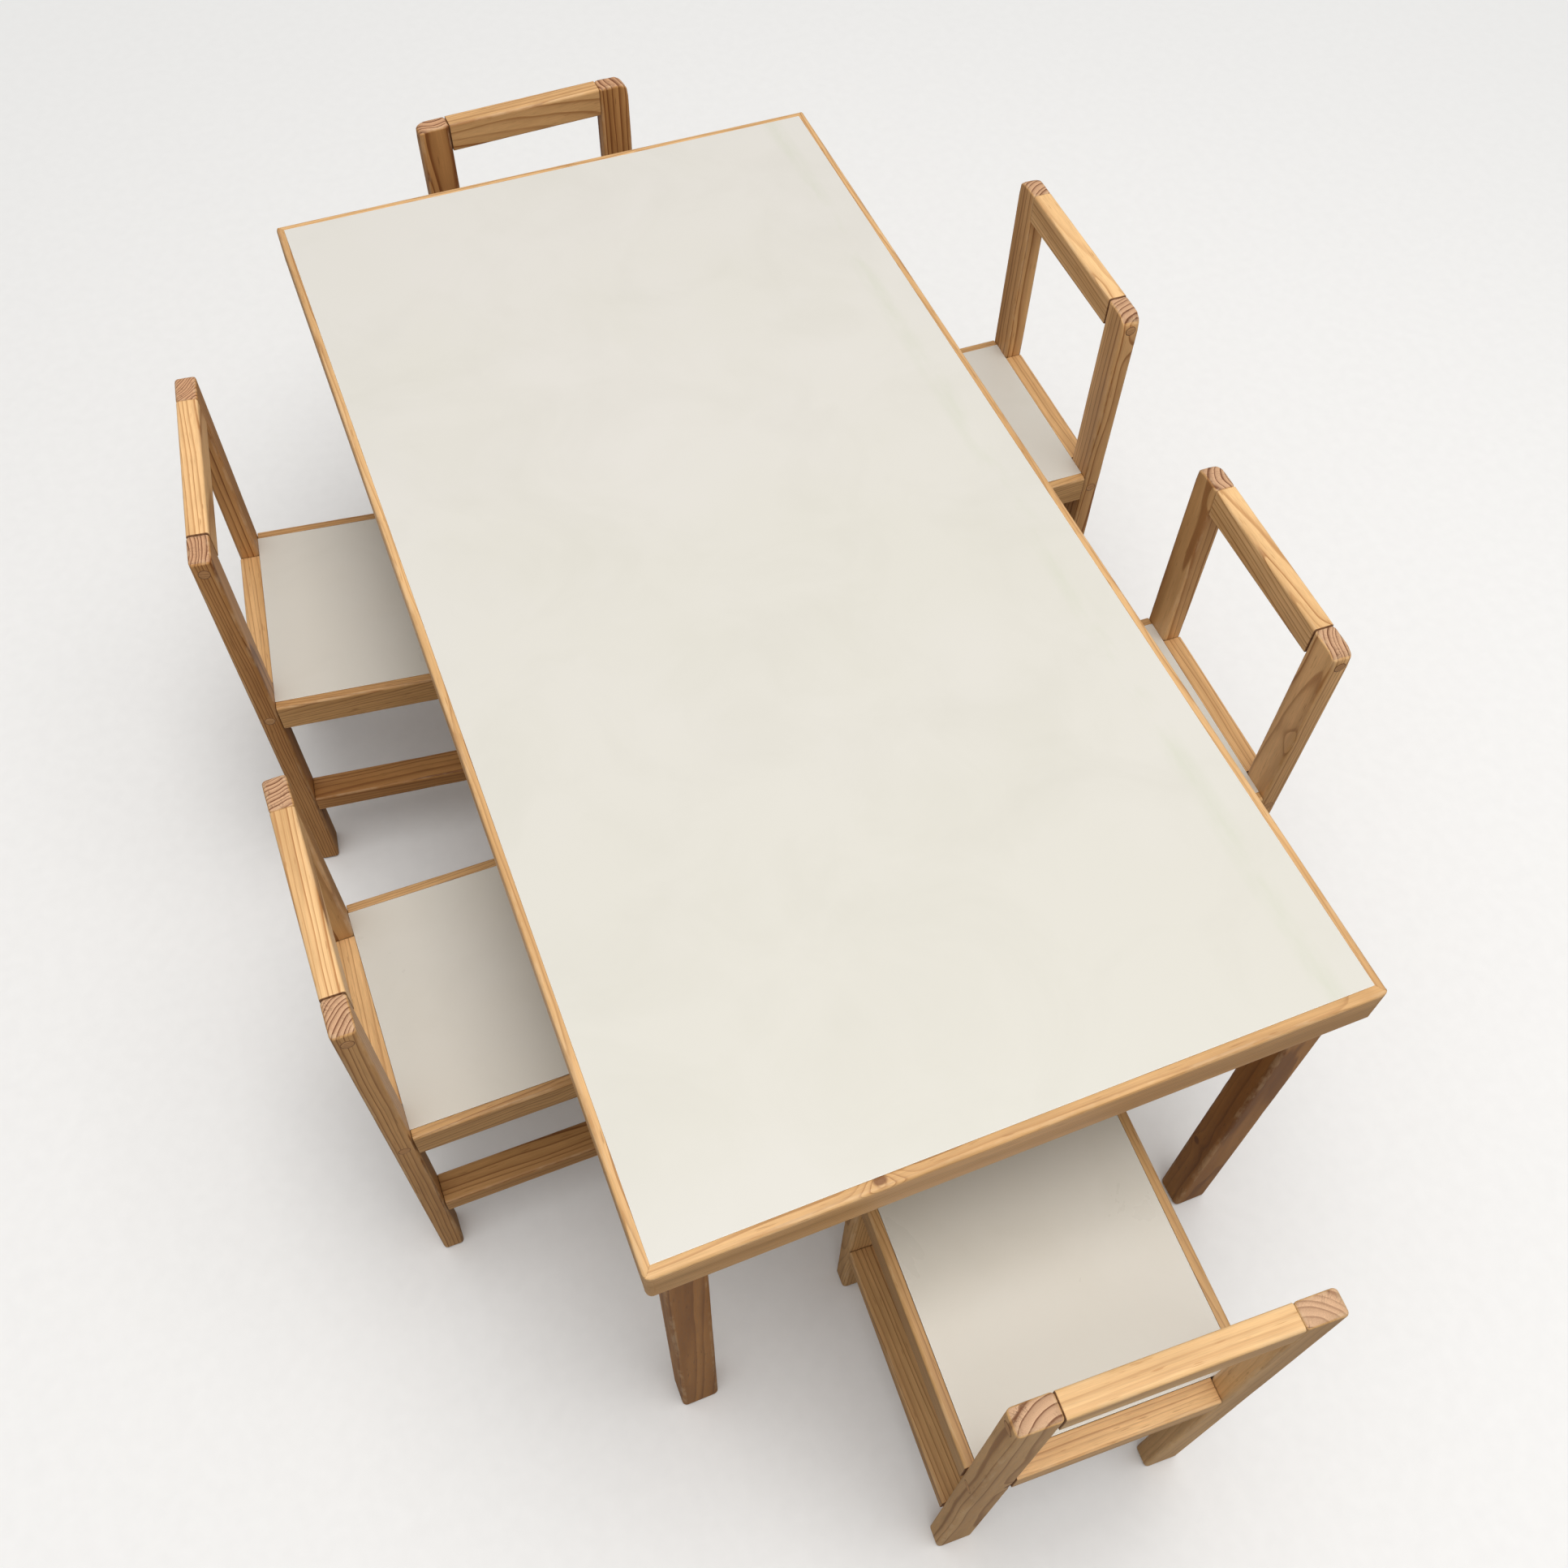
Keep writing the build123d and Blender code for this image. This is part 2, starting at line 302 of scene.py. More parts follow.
def make_piece(name, sticks, place, material, body, node):
    """Join sticks into one object that stands in place of a CAD node."""
    points = []
    quads = []
    grain = []
    edge = []
    wood = []
    end = []
    for stick in sticks:
        start = len(points)
        points += stick.points.tolist()
        quads += [[start + i for i in quad] for quad in stick.quads]
        grain += stick.grain.tolist()
        edge += stick.edge.tolist()
        wood += [stick.wood] * len(stick.points)
        end += stick.end
    mesh = bpy.data.meshes.new(name)
    mesh.from_pydata(points, [], quads)
    mesh.transform(place)
    tag_wood(mesh, grain, wood, edge, end)
    link_piece(name, mesh, material, body, node)


# ---- Materials -----------------------------------------------------------

class Nodes:
    """Short calls that add and join shader nodes."""

    def __init__(self, name):
        self.material = bpy.data.materials.new(name)
        self.material.use_nodes = True
        self.tree = self.material.node_tree
        self.shader = self.tree.nodes["Principled BSDF"]

    def add(self, kind, inputs=(), **settings):
        node = self.tree.nodes.new(kind)
        for key, value in settings.items():
            setattr(node, key, value)
        for key, value in dict(inputs).items():
            self.set(node.inputs[key], value)
        return node

    def set(self, socket, value):
        """Link the socket to another node's output, or give it a plain value."""
        if isinstance(value, bpy.types.NodeSocket):
            self.tree.links.new(value, socket)
        else:
            socket.default_value = value

    def finish(self, colour, roughness, normal=None):
        """Feed the shader, and hand over the material."""
        self.set(self.shader.inputs["Base Color"], colour)
        self.set(self.shader.inputs["Roughness"], roughness)
        if normal:
            self.set(self.shader.inputs["Normal"], normal)
        return self.material

    def attribute(self, name):
        """What tag_wood stored under this name."""
        return self.add("ShaderNodeAttribute", attribute_name=name)

    def place(self):
        """The point's place on its object."""
        return self.add("ShaderNodeTexCoord").outputs["Object"]

    def math(self, operation, a, b=0.0):
        return self.add("ShaderNodeMath", {0: a, 1: b}, operation=operation).outputs[0]

    def vector(self, operation, a, b=(0, 0, 0)):
        node = self.add("ShaderNodeVectorMath", {0: a, 1: b}, operation=operation)
        return node.outputs["Value" if operation == "LENGTH" else "Vector"]

    def parts(self, vector):
        return self.add("ShaderNodeSeparateXYZ", {0: vector}).outputs

    def noise(self, vector, scale, detail, rough, distortion=0.0, output="Fac"):
        node = self.add("ShaderNodeTexNoise", {"Vector": vector, "Scale": scale, "Detail": detail,
                                               "Roughness": rough, "Distortion": distortion})
        return node.outputs[output]

    def streaks(self, grain, across, along, detail, rough=0.5, output="Fac"):
        """Noise drawn out along the grain; across and along are its cells in a metre."""
        drawn = self.vector("MULTIPLY", grain, (across, across, along))
        return self.noise(drawn, 1, detail, rough, output=output)

    def ramp(self, value, stops):
        node = self.add("ShaderNodeValToRGB", {"Fac": value})
        elements = node.color_ramp.elements
        while len(elements) < len(stops):
            elements.new(0.5)
        for element, (place, colour) in zip(elements, stops):
            element.position = place
            element.color = colour if len(colour) == 4 else (*colour, 1)
        return node.outputs["Color"]

    def mix(self, factor, a, b, blend="MIX"):
        node = self.add("ShaderNodeMix", data_type="RGBA", blend_type=blend)
        self.set(node.inputs[0], factor)
        self.set(node.inputs[6], a)
        self.set(node.inputs[7], b)
        return node.outputs[2]

    def shade(self, colour, value, stops):
        """The colour times what a ramp makes of the value."""
        return self.mix(1.0, colour, self.ramp(value, stops), "MULTIPLY")

    def spread(self, value, low, high, to_low=0.0, to_high=1.0):
        node = self.add("ShaderNodeMapRange", {0: value, 1: low, 2: high, 3: to_low, 4: to_high})
        return node.outputs[0]

    def bump(self, height, distance, strength, normal=None):
        inputs = {"Height": height, "Distance": distance, "Strength": strength}
        if normal is not None:
            inputs["Normal"] = normal
        return self.add("ShaderNodeBump", inputs).outputs["Normal"]


def grey(value):
    """An opaque grey."""
    return (value, value, value, 1)


def pine_knots(n, grain):
    """Where the knots are, and how strongly the rings bend round them."""
    cell = (13, 13, 2.6)
    spot = n.add("ShaderNodeTexVoronoi", {"Vector": n.vector("MULTIPLY", grain, cell), "Scale": 1.0})
    spot = n.vector("DIVIDE", spot.outputs["Position"], cell)
    apart = n.vector("MULTIPLY", n.vector("SUBTRACT", grain, spot), (1, 1, 0.7))
    apart = n.vector("LENGTH", apart)
    knot = n.spread(apart, 0.0048, 0.0032)
    bend = n.math("POWER", n.spread(apart, 0.024, 0.0), 2.0)
    return knot, bend


def pine_rings(n, flat, bend, ring, uneven):
    """Distance from the pith, and how much of each growth ring is dark latewood."""
    middle = n.vector("LENGTH", flat)
    middle = n.math("ADD", middle, n.math("MULTIPLY", bend, 0.009))
    rings = n.math("DIVIDE", middle, ring)
    rings = n.math("ADD", rings, n.math("MULTIPLY", uneven, 0.35))
    # wide and narrow years, the same all along the log
    years = n.add("ShaderNodeCombineXYZ", {0: n.math("MULTIPLY", middle, 85.0)})
    years = n.noise(years.outputs[0], 1, 1, 0.5)
    rings = n.math("ADD", rings, n.math("MULTIPLY", years, 2.2))
    late = n.ramp(n.math("FRACT", rings), [(0.0, grey(0.0)), (0.42, grey(0.06)), (0.70, grey(0.30)),
                                           (0.86, grey(1.0)), (0.95, grey(0.95)), (1.0, grey(0.0))])
    # some years are fainter than others
    which = n.add("ShaderNodeTexWhiteNoise", {"W": n.math("FLOOR", rings)}, noise_dimensions="1D")
    late = n.math("MULTIPLY", late, n.spread(which.outputs["Value"], 0, 1, 0.45, 1.0))
    return middle, late


def pine_end(n, grain, flat, middle, late, redden):
    """The colour of end grain, and the short cracks that run out from the pith."""
    pores = n.streaks(grain, 2400, 400, 2, 0.7)
    end_late = n.math("POWER", n.math("DIVIDE", late, 0.8), 0.6)
    colour = n.mix(end_late, *END_WOOD)
    colour = n.mix(0.8, colour, redden, "MULTIPLY")
    colour = n.shade(colour, pores, [(0.3, grey(0.72)), (0.7, grey(1.05))])
    across = n.parts(flat)
    bearing = n.math("ARCTAN2", across[0], across[1])
    spokes = n.add("ShaderNodeCombineXYZ", {0: n.math("MULTIPLY", bearing, 26.0),
                                            1: n.math("MULTIPLY", middle, 60.0)})
    spokes = n.noise(spokes.outputs[0], 1, 3, 0.6)
    crack = n.ramp(spokes, [(0.487, grey(0)), (0.497, grey(1)), (0.503, grey(1)), (0.513, grey(0))])
    patch = n.streaks(grain, 90, 30, 1)
    crack = n.math("MULTIPLY", crack, n.spread(patch, 0.48, 0.6))
    colour = n.mix(n.math("MULTIPLY", crack, 0.75), colour, CRACK_COLOUR)
    return colour, crack


def pine_material():
    """Clear-lacquered pine: rings round a pith, streaks along the grain, darker ends."""
    n = Nodes("lacquered_pine")
    grain = n.attribute("grain").outputs["Vector"]
    edge = n.attribute("edge").outputs["Fac"]
    end = n.attribute("end").outputs["Fac"]
    wood = n.attribute("wood").outputs
    red = wood["Alpha"]
    tone, ring, figure = n.add("ShaderNodeSeparateColor", {0: wood["Color"]}).outputs

    # growth rings, wandering slowly along the length
    knot, bend = pine_knots(n, grain)
    wander = n.streaks(grain, 20, 4, 2, output="Color")
    wander = n.vector("MULTIPLY", n.vector("SUBTRACT", wander, (0.5, 0.5, 0.5)), (0.011, 0.011, 0))
    flat = n.vector("MULTIPLY", n.vector("ADD", grain, wander), (1, 1, 0))
    uneven = n.streaks(grain, 70, 7, 2)
    middle, late = pine_rings(n, flat, bend, ring, uneven)
    late = n.math("MINIMUM", n.math("MULTIPLY", late, figure), 1.0)

    # colour: pale earlywood, brown latewood, honey to brown from stick to stick
    late_colour = n.mix(tone, *LATE_WOOD)
    colour = n.mix(late, n.mix(tone, *EARLY_WOOD), late_colour)
    redden = n.mix(red, grey(1), REDDEST)
    colour = n.mix(1.0, colour, redden, "MULTIPLY")

    # broad stain bands, mottling, fibres, short dark dashes, and knots
    band = n.streaks(grain, 38, 2.5, 2)
    colour = n.shade(colour, band, [(0.3, (0.78, 0.71, 0.62)), (0.6, (1.07, 1.07, 1.06))])
    mottle = n.streaks(grain, 130, 22, 4, 0.65)
    colour = n.shade(colour, mottle, [(0.25, (0.92, 0.90, 0.87)), (0.75, (1.06, 1.06, 1.06))])
    fibre = n.streaks(grain, 1300, 20, 3, 0.6)
    colour = n.shade(colour, fibre, [(0.25, grey(0.84)), (0.75, grey(1.1))])
    dash = n.spread(n.streaks(grain, 620, 48, 1), 0.68, 0.75, 0.0, 0.55)
    colour = n.mix(dash, colour, late_colour)
    colour = n.mix(n.math("MULTIPLY", knot, 0.85), colour, n.mix(uneven, *KNOT_WOOD))

    end_colour, crack = pine_end(n, grain, flat, middle, late, redden)
    colour = n.mix(end, colour, end_colour)

    # paler arrises in patches, partly wear and partly painted highlight, and dark lines where members meet
    worn_and_highlight = n.streaks(grain, 110, 30, 4, 0.65)
    worn_and_highlight = n.math("MULTIPLY", n.spread(worn_and_highlight, 0.46, 0.6), n.spread(edge, 0, 0.8))
    colour = n.mix(n.math("MULTIPLY", worn_and_highlight, 0.25), colour, WORN_AND_HIGHLIGHT_COLOUR)
    joint = n.spread(edge, -0.5, -1.0)
    colour = n.mix(n.math("MULTIPLY", joint, 0.7), colour, JOINT_COLOUR)

    rough = n.spread(fibre, 0.2, 0.8, 0.38, 0.52)
    rough = n.math("ADD", rough, n.math("MULTIPLY", end, 0.2))
    n.shader.inputs["Specular IOR Level"].default_value = 0.3
    height = n.math("SUBTRACT", late, n.math("MULTIPLY", n.math("MULTIPLY", crack, end), 2.0))
    normal = n.bump(height, 0.00014, 0.4)
    normal = n.bump(fibre, 0.00009, 0.4, normal)
    return n.finish(colour, rough, normal)


def dowel_material():
    """Plain beech dowel, seen only where a pin's end meets a face."""
    n = Nodes("beech_dowel")
    fleck = n.noise(n.place(), 900, 3, 0.6)
    colour = n.ramp(fleck, [(0.3, (0.36, 0.19, 0.09)), (0.7, (0.55, 0.32, 0.16))])
    return n.finish(colour, n.spread(fleck, 0.3, 0.7, 0.5, 0.65), n.bump(fleck, 0.0001, 0.3))


def laminate_material(name, warm, cool, smooth, smear=None):
    """Satin off-white laminate: cloudy smudges, tiny specks, and a painted highlight along its edges.

    The colour goes from warm to cool. smear is (across, width) of a faint green smear that
    runs along x, or None.
    """
    n = Nodes(name)
    place = n.place()
    edge = n.attribute("edge").outputs["Fac"]
    cloud = n.noise(place, 3.2, 4, 0.55)
    ageing = n.math("MULTIPLY", n.parts(place)[0], -0.22)
    colour = n.mix(n.spread(n.math("ADD", cloud, ageing), 0.35, 0.65), warm, cool)
    smudge = n.noise(place, 9, 5, 0.62, 0.6)
    colour = n.shade(colour, smudge, [(0.2, (0.955, 0.955, 0.945)), (0.55, grey(1))])

    # a few tiny scuffs and specks, well apart
    speck = n.add("ShaderNodeTexVoronoi", {"Vector": place, "Scale": 9.0})
    size = n.spread(speck.outputs["Color"], 0, 1, 0.002, 0.012)
    speck = n.math("LESS_THAN", speck.outputs["Distance"], size)
    shape = n.noise(place, 420, 2, 0.6)
    speck = n.math("MULTIPLY", speck, n.spread(shape, 0.4, 0.55))
    colour = n.mix(n.math("MULTIPLY", speck, 0.5), colour, SPECK_COLOUR)
    if smear:
        across, width = smear
        off = n.math("ABSOLUTE", n.math("SUBTRACT", n.parts(place)[1], across))
        ragged = n.noise(n.vector("MULTIPLY", place, (9, 30, 1)), 1, 4, 0.6)
        band = n.math("MULTIPLY", n.spread(off, width, 0), n.spread(ragged, 0.42, 0.62))
        colour = n.mix(n.math("MULTIPLY", band, 0.5), colour, SMEAR_COLOUR)

    # a thin painted highlight along every edge of the panel
    colour = n.mix(n.spread(edge, 0.01, 0.08), colour, EDGE_HIGHLIGHT_COLOUR)
    rough = n.spread(smudge, 0.3, 0.7, smooth, smooth + 0.12)
    n.shader.inputs["Specular IOR Level"].default_value = 0.4
    return n.finish(colour, rough, n.bump(n.noise(place, 900, 2, 0.6), 0.00005, 0.2))


def steel_material():
    """Zinc-plated screw steel with fine turning marks."""
    n = Nodes("zinc_plated_steel")
    marks = n.noise(n.place(), 2500, 3, 0.6)
    colour = n.ramp(marks, [(0.3, (0.42, 0.42, 0.4)), (0.7, (0.66, 0.66, 0.64))])
    n.shader.inputs["Metallic"].default_value = 1.0
    return n.finish(colour, n.spread(marks, 0.3, 0.7, 0.28, 0.5))


def floor_material():
    """A plain pale floor that throws little light back up, as a large dark room would."""
    n = Nodes("pale_floor")
    place = n.place()
    speck = n.noise(place, 60, 3, 0.5)
    n.set(n.shader.inputs["Base Color"], n.ramp(speck, [(0.3, grey(0.90)), (0.7, grey(0.92))]))
    n.shader.inputs["Roughness"].default_value = 0.9
    n.shader.inputs["Specular IOR Level"].default_value = 0.1
    dim = n.add("ShaderNodeBsdfDiffuse", {"Color": FLOOR_BOUNCE})
    # far from the table the floor fades into the backdrop
    backdrop = n.add("ShaderNodeEmission", {"Color": BACKDROP})
    away = n.spread(n.vector("LENGTH", place), FADE_START, FADE_END)
    pale = n.add("ShaderNodeMixShader", {0: away, 1: n.shader.outputs[0], 2: backdrop.outputs[0]})
    seen = n.add("ShaderNodeLightPath").outputs["Is Camera Ray"]
    both = n.add("ShaderNodeMixShader", {0: seen, 1: dim.outputs[0], 2: pale.outputs[0]})
    n.set(n.tree.nodes["Material Output"].inputs["Surface"], both.outputs[0])
    return n.material


PINE = pine_material()
DOWEL = dowel_material()
SEAT_LAMINATE = laminate_material("seat_laminate", (0.675, 0.63, 0.55, 1), (0.695, 0.66, 0.595, 1), 0.26)
STEEL = steel_material()


# ---- Sizes from the frame ------------------------------------------------

def size_of(node):
    """The size of a CAD node along each axis."""
    low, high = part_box(node)
    return high - low


def square(part):
    """The node of a part of the chair that stands square."""
    return SQUARE_CHAIR + "_" + part


chair_width, post_depth, back_height = size_of(square("rear_posts"))
inner_width = size_of(square("back_rail")).x
post_width = (chair_width - inner_width) / 2
back_rail_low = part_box(square("back_rail"))[0].z
chair_depth = size_of(square("seat_frame")).y
seat_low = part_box(square("seat_frame"))[0].z
seat_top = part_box(square("seat_frame"))[1].z
seat_width = size_of(square("seat_panel")).x
seat_depth = size_of(square("seat_panel")).y
seat_thickness = size_of(square("seat_panel")).z
stretcher_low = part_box(square("stretchers"))[0].z
stretcher_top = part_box(square("stretchers"))[1].z
half_width = chair_width / 2
half_inner = half_width - post_width
leg_back = chair_depth - post_depth
seat_lip = (chair_width - seat_width) / 2
seat_shelf = seat_top - seat_thickness

table_low, table_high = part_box("table_top_panel")
rail_boxes = {end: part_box("table_" + end + "_rail") for end in ("near", "far", "left", "right")}
table_x = (rail_boxes["far"][0].x, rail_boxes["near"][1].x)
table_y = (rail_boxes["left"][0].y, rail_boxes["right"][1].y)
rail_low = rail_boxes["near"][0].z
table_top = rail_boxes["near"][1].z
table_middle = Vector((sum(table_x) / 2, sum(table_y) / 2, 0))

TABLE_LAMINATE = laminate_material("table_laminate", (0.700, 0.680, 0.617, 1), (0.722, 0.698, 0.652, 1),
                                   0.36, (table_high.y - 0.035, 0.014))


# ---- Chairs --------------------------------------------------------------

# for each chair, its left and right post as (ring spacing, pith angle, pith distance, figure,
# rubbed-down height), its back rail as (ring spacing, pith angle, figure, tone), the tones of its
# posts and stretchers, and its redness. The posts' tone, which the front legs share, is partly
# their wood and partly painted shade.
CHAIR_WOOD = {
    "chair_far": {
        "left": (0.0070, 15, 0.05, 1.3, 0.0055), "right": (0.0048, 70, 0.03, 1.4, 0.003),
        "rail": (0.0034, 25, 1.1, 0.3), "post_tone_and_shade": 0.75, "low_tone": 0.8, "red": 0.8},
    "chair_left_far": {
        "left": (0.0030, 45, 0.06, 1.2, 0.001), "right": (0.0030, 92, 0.06, 1.5, 0.001),
        "rail": (0.0044, 8, 1.0, 0.05), "post_tone_and_shade": 0.72, "low_tone": 0.75, "red": 0.8},
    "chair_left_near": {
        "left": (0.0036, 20, 0.05, 1.2, 0.0015), "right": (0.0034, 222, 0.05, 1.2, 0.001),
        "rail": (0.0048, -6, 1.0, 0.05), "post_tone_and_shade": 0.62, "low_tone": 0.8, "red": 0.4},
    "chair_right_far": {
        "left": (0.0058, 20, 0.05, 1.2, 0.007), "right": (0.0056, 30, 0.05, 1.2, 0.006),
        "rail": (0.0042, 65, 0.8, 0.0), "post_tone_and_shade": 0.35, "low_tone": 0.6, "red": 0.45},
    "chair_right_near": {
        "left": (0.0036, 80, 0.035, 1.0, 0.004), "right": (0.0060, 80, 0.04, 1.0, 0.004),
        "rail": (0.0046, 60, 1.0, 0.05), "post_tone_and_shade": 0.22, "low_tone": 0.6, "red": 0.35},
    "chair_near": {
        "left": (0.0072, 113, 0.06, 1.0, 0.0015), "right": (0.0055, 60, 0.06, 0.4, 0.002),
        "rail": (0.0090, 10, 0.4, 0.0), "post_tone_and_shade": 0.42, "low_tone": 0.5, "red": 0.1},
}


def chair_place(chair):
    """The frame of a chair: rear face on y = 0, facing +y."""
    slide = next(j for j in frame["joints"] if j["child"] == chair)
    ahead = Vector(slide["axis"])
    low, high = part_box(chair + "_rear_posts")
    middle = (low + high) / 2
    middle.z = 0
    spot = middle - ahead * (post_depth / 2)
    turn = math.atan2(-ahead.x, ahead.y)
    return Matrix.Translation(spot) @ Matrix.Rotation(turn, 4, "Z")


def post_rounds(side):
    """The arrises of a post: softer on the chair's outer side than on its inner side."""
    sideways = (OUTER_ROUND, POST_ROUND) if side < 0 else (POST_ROUND, OUTER_ROUND)
    return [sideways, (POST_ROUND, POST_ROUND), (END_ROUND, END_ROUND)]


def upright_sticks(wood):
    """The rear posts and the front legs of a chair, left before right."""
    posts = []
    legs = []
    for side, (ring, angle, distance, figure, rubbed) in ((-1, wood["left"]), (1, wood["right"])):
        x_span = sorted((side * half_inner, side * half_width))
        # the tone of the posts and legs is partly their wood and partly painted shade
        post = Stick([x_span, (0, post_depth), (0, back_height)], 2, post_rounds(side),
                     ring, (angle, distance), wood["post_tone_and_shade"], figure, wood["red"], wear=1.6,
                     lean=(rng.uniform(-0.02, 0.02), rng.uniform(-0.02, 0.02)))
        post.round_shoulder(side, rubbed)
        posts.append(post)
        legs.append(Stick([x_span, (leg_back, chair_depth), (0, seat_low)], 2, post_rounds(side),
                          rng.uniform(0.0025, 0.004), tone=wood["post_tone_and_shade"], red=wood["red"]))
    return posts, legs


def back_rail_stick(wood):
    """The rail between the tops of the rear posts."""
    ring, angle, figure, tone = wood["rail"]
    spans = [(-half_inner, half_inner), (0, post_depth), (back_rail_low, back_height)]
    return Stick(spans, 0, [TIGHT, (RAIL_ROUND, RAIL_ROUND), (0.001, RAIL_ROUND)], ring,
                 (angle, 0.06), tone, figure, wood["red"] * 0.3)


def stretcher_sticks(wood):
    """The low rails between the rear posts and the front legs."""
    sticks = []
    for side in (-1, 1):
        x_span = sorted((side * (half_width - STRETCHER_WIDTH), side * half_width))
        sticks.append(Stick([x_span, (post_depth, leg_back), (stretcher_low, stretcher_top)], 1,
                            [(STRETCHER_ROUND, STRETCHER_ROUND), TIGHT, (STRETCHER_ROUND, STRETCHER_ROUND)],
                            rng.uniform(0.0035, 0.005), tone=wood["low_tone"], figure=1.0,
                            red=wood["red"]))
    return sticks


def seat_frame_sticks(red):
    """Rebated side rails, a rail between the posts, and a rebated front rail.

    A rebated rail is two sticks: the lip that shows beside the seat, and the shelf under it.
    """
    sticks = []
    inner = half_width - SEAT_RAIL_THICKNESS
    for side in (-1, 1):
        outer = (RAIL_ROUND, LIP_ROUND) if side < 0 else (LIP_ROUND, RAIL_ROUND)
        wood = {"ring": rng.uniform(0.0025, 0.0035), "pith": (rng.uniform(0, 360), 0.05),
                "tone": 0.62, "red": red * 0.4}
        lip_x = sorted((side * (half_width - seat_lip), side * half_width))
        shelf_x = sorted((side * inner, side * (half_width - seat_lip)))
        y_span = (post_depth, chair_depth)
        sticks.append(Stick([lip_x, y_span, (seat_low, seat_top)], 1,
                            [outer, (TIGHT_ROUND, RAIL_ROUND), SEAT_RAIL_ROUNDS], **wood))
        sticks.append(Stick([shelf_x, y_span, (seat_low, seat_shelf)], 1, [TIGHT] * 3, **wood))
    sticks.append(Stick([(-half_inner, half_inner), (0, post_depth), (seat_low, seat_top)], 0,
                        [TIGHT, (RAIL_ROUND, LIP_ROUND), (0.0015, 0.0015)],
                        0.0046, (rng.uniform(-20, 20), 0.06), tone=0.25, figure=0.7))
    lip_y = (chair_depth - seat_lip, chair_depth)
    shelf_y = (chair_depth - SEAT_RAIL_THICKNESS, chair_depth - seat_lip)
    sticks.append(Stick([(-inner, inner), lip_y, (seat_low, seat_top)], 0,
                        [TIGHT, (LIP_ROUND, RAIL_ROUND), SEAT_RAIL_ROUNDS],
                        rng.uniform(0.003, 0.004), tone=0.4))
    sticks.append(Stick([(-inner, inner), shelf_y, (seat_low, seat_shelf)], 0, [TIGHT] * 3,
                        rng.uniform(0.003, 0.004), tone=0.4))
    return sticks


def build_chair(chair):
    """All the pieces of one chair, made in its own frame and put in its place."""
    place = chair_place(chair)
    wood = CHAIR_WOOD[chair]

    def piece(part, sticks, material=PINE, slot="pine"):
        name = chair + "_" + part
        make_piece(name + "_look", sticks, place, material, chair, name)

    posts, legs = upright_sticks(wood)
    piece("rear_posts", posts)
    piece("front_legs", legs)
    piece("back_rail", [back_rail_stick(wood)])
    piece("stretchers", stretcher_sticks(wood))
    piece("seat_frame", seat_frame_sticks(wood["red"]))
    seat = Stick([(-seat_width / 2, seat_width / 2), (post_depth, post_depth + seat_depth),
                  (seat_shelf, seat_top)], 1, [(LAMINATE_ROUND, LAMINATE_ROUND)] * 3,
                 step=[0.03] * 3, wear=0)
    piece("seat_panel", [seat], SEAT_LAMINATE, "laminate")
    plug_faces(chair, place)


def plug_faces(chair, place):
    """Round plug faces on the posts' outer sides: a low dome inside a narrow dark groove."""
    # distance from the middle, height above the post, and the kind of edge
    profile = [(PLUG_RADIUS + PLUG_GROOVE, -0.0002, JOINT_EDGE),
               (PLUG_RADIUS + PLUG_GROOVE * 0.8, -0.00005, JOINT_EDGE),
               (PLUG_RADIUS + PLUG_GROOVE * 0.3, -0.00003, JOINT_EDGE),
               (PLUG_RADIUS, 0.00002, 0.6),
               (PLUG_RADIUS * 0.6, 0.00005, 0.0),
               (PLUG_RADIUS * 0.1, 0.00006, 0.0)]
    segments = 28
    heights = ((back_rail_low + back_height) / 2, (seat_low + seat_top) / 2)
    points = []
    quads = []
    grain = []
    edge = []
    for height, side in [(height, side) for height in heights for side in (-1, 1)]:
        start = len(points)
        shift = rng.uniform(1, 30)
        for radius, proud, kind in profile:
            for i in range(segments):
                angle = 2 * math.pi * i / segments * side
                dy = radius * math.cos(angle)
                dz = radius * math.sin(angle)
                points.append((side * half_width + side * proud, post_depth / 2 + dy, height + dz))
                grain.append((dz + 0.03, dy * 0.2 + 0.02, dy + shift))
                edge.append(kind)
        for r in range(len(profile) - 1):
            for i in range(segments):
                a = start + r * segments + i
                b = start + r * segments + (i + 1) % segments
                quads.append((a, b, b + segments, a + segments))
        quads.append(tuple(start + (len(profile) - 1) * segments + i for i in range(segments)))
    name = chair + "_plug_faces"
    mesh = bpy.data.meshes.new(name)
    mesh.from_pydata(points, [], quads)
    mesh.transform(place)
    tag_wood(mesh, grain, [(0.7, 0.0022, 0.5, 0.6)] * len(points), edge, [0.3] * len(quads))
    link_piece(name, mesh, PINE, chair)


# ---- Table ---------------------------------------------------------------

def rail_section(lip, thick, height):
    """An edge rail's section, going round it: (distance in, height above its underside, edge)."""
    r = RAIL_ROUND
    shelf = table_low.z - rail_low
    quarter = [math.radians(90 * i / 4) for i in range(5)]
    section = [(r - r * math.cos(a), height - r + r * math.sin(a), WORN_AND_HIGHLIGHT_EDGE) for a in quarter]
    section += [(r + EDGE_STRIP, height, 0.0),
                (lip * 0.75, height, 0.0),
                (lip - LIP_ROUND, height, 0.0),
                (lip - SKIN, height - LIP_ROUND, LIP_EDGE),
                (lip - SKIN, shelf + 2 * SKIN, 0.0),
                (thick, shelf + SKIN, 0.0),
                (thick, shelf / 2, 0.0),
                (thick, RAIL_CHAMFER, WORN_AND_HIGHLIGHT_EDGE),
                (thick - RAIL_CHAMFER, 0.0, WORN_AND_HIGHLIGHT_EDGE),
                (thick * 0.5, 0.0, 0.0),
                (r + 0.001, 0.0, 0.0)]
    section += [(r - r * math.sin(a), r - r * math.cos(a), WORN_AND_HIGHLIGHT_EDGE) for a in quarter]
    section += [(0.0, r + EDGE_STRIP, 0.0),
                (0.0, height * 0.35, 0.0),
                (0.0, height * 0.65, 0.0),
                (0.0, height - r - EDGE_STRIP, 0.0)]
    return section


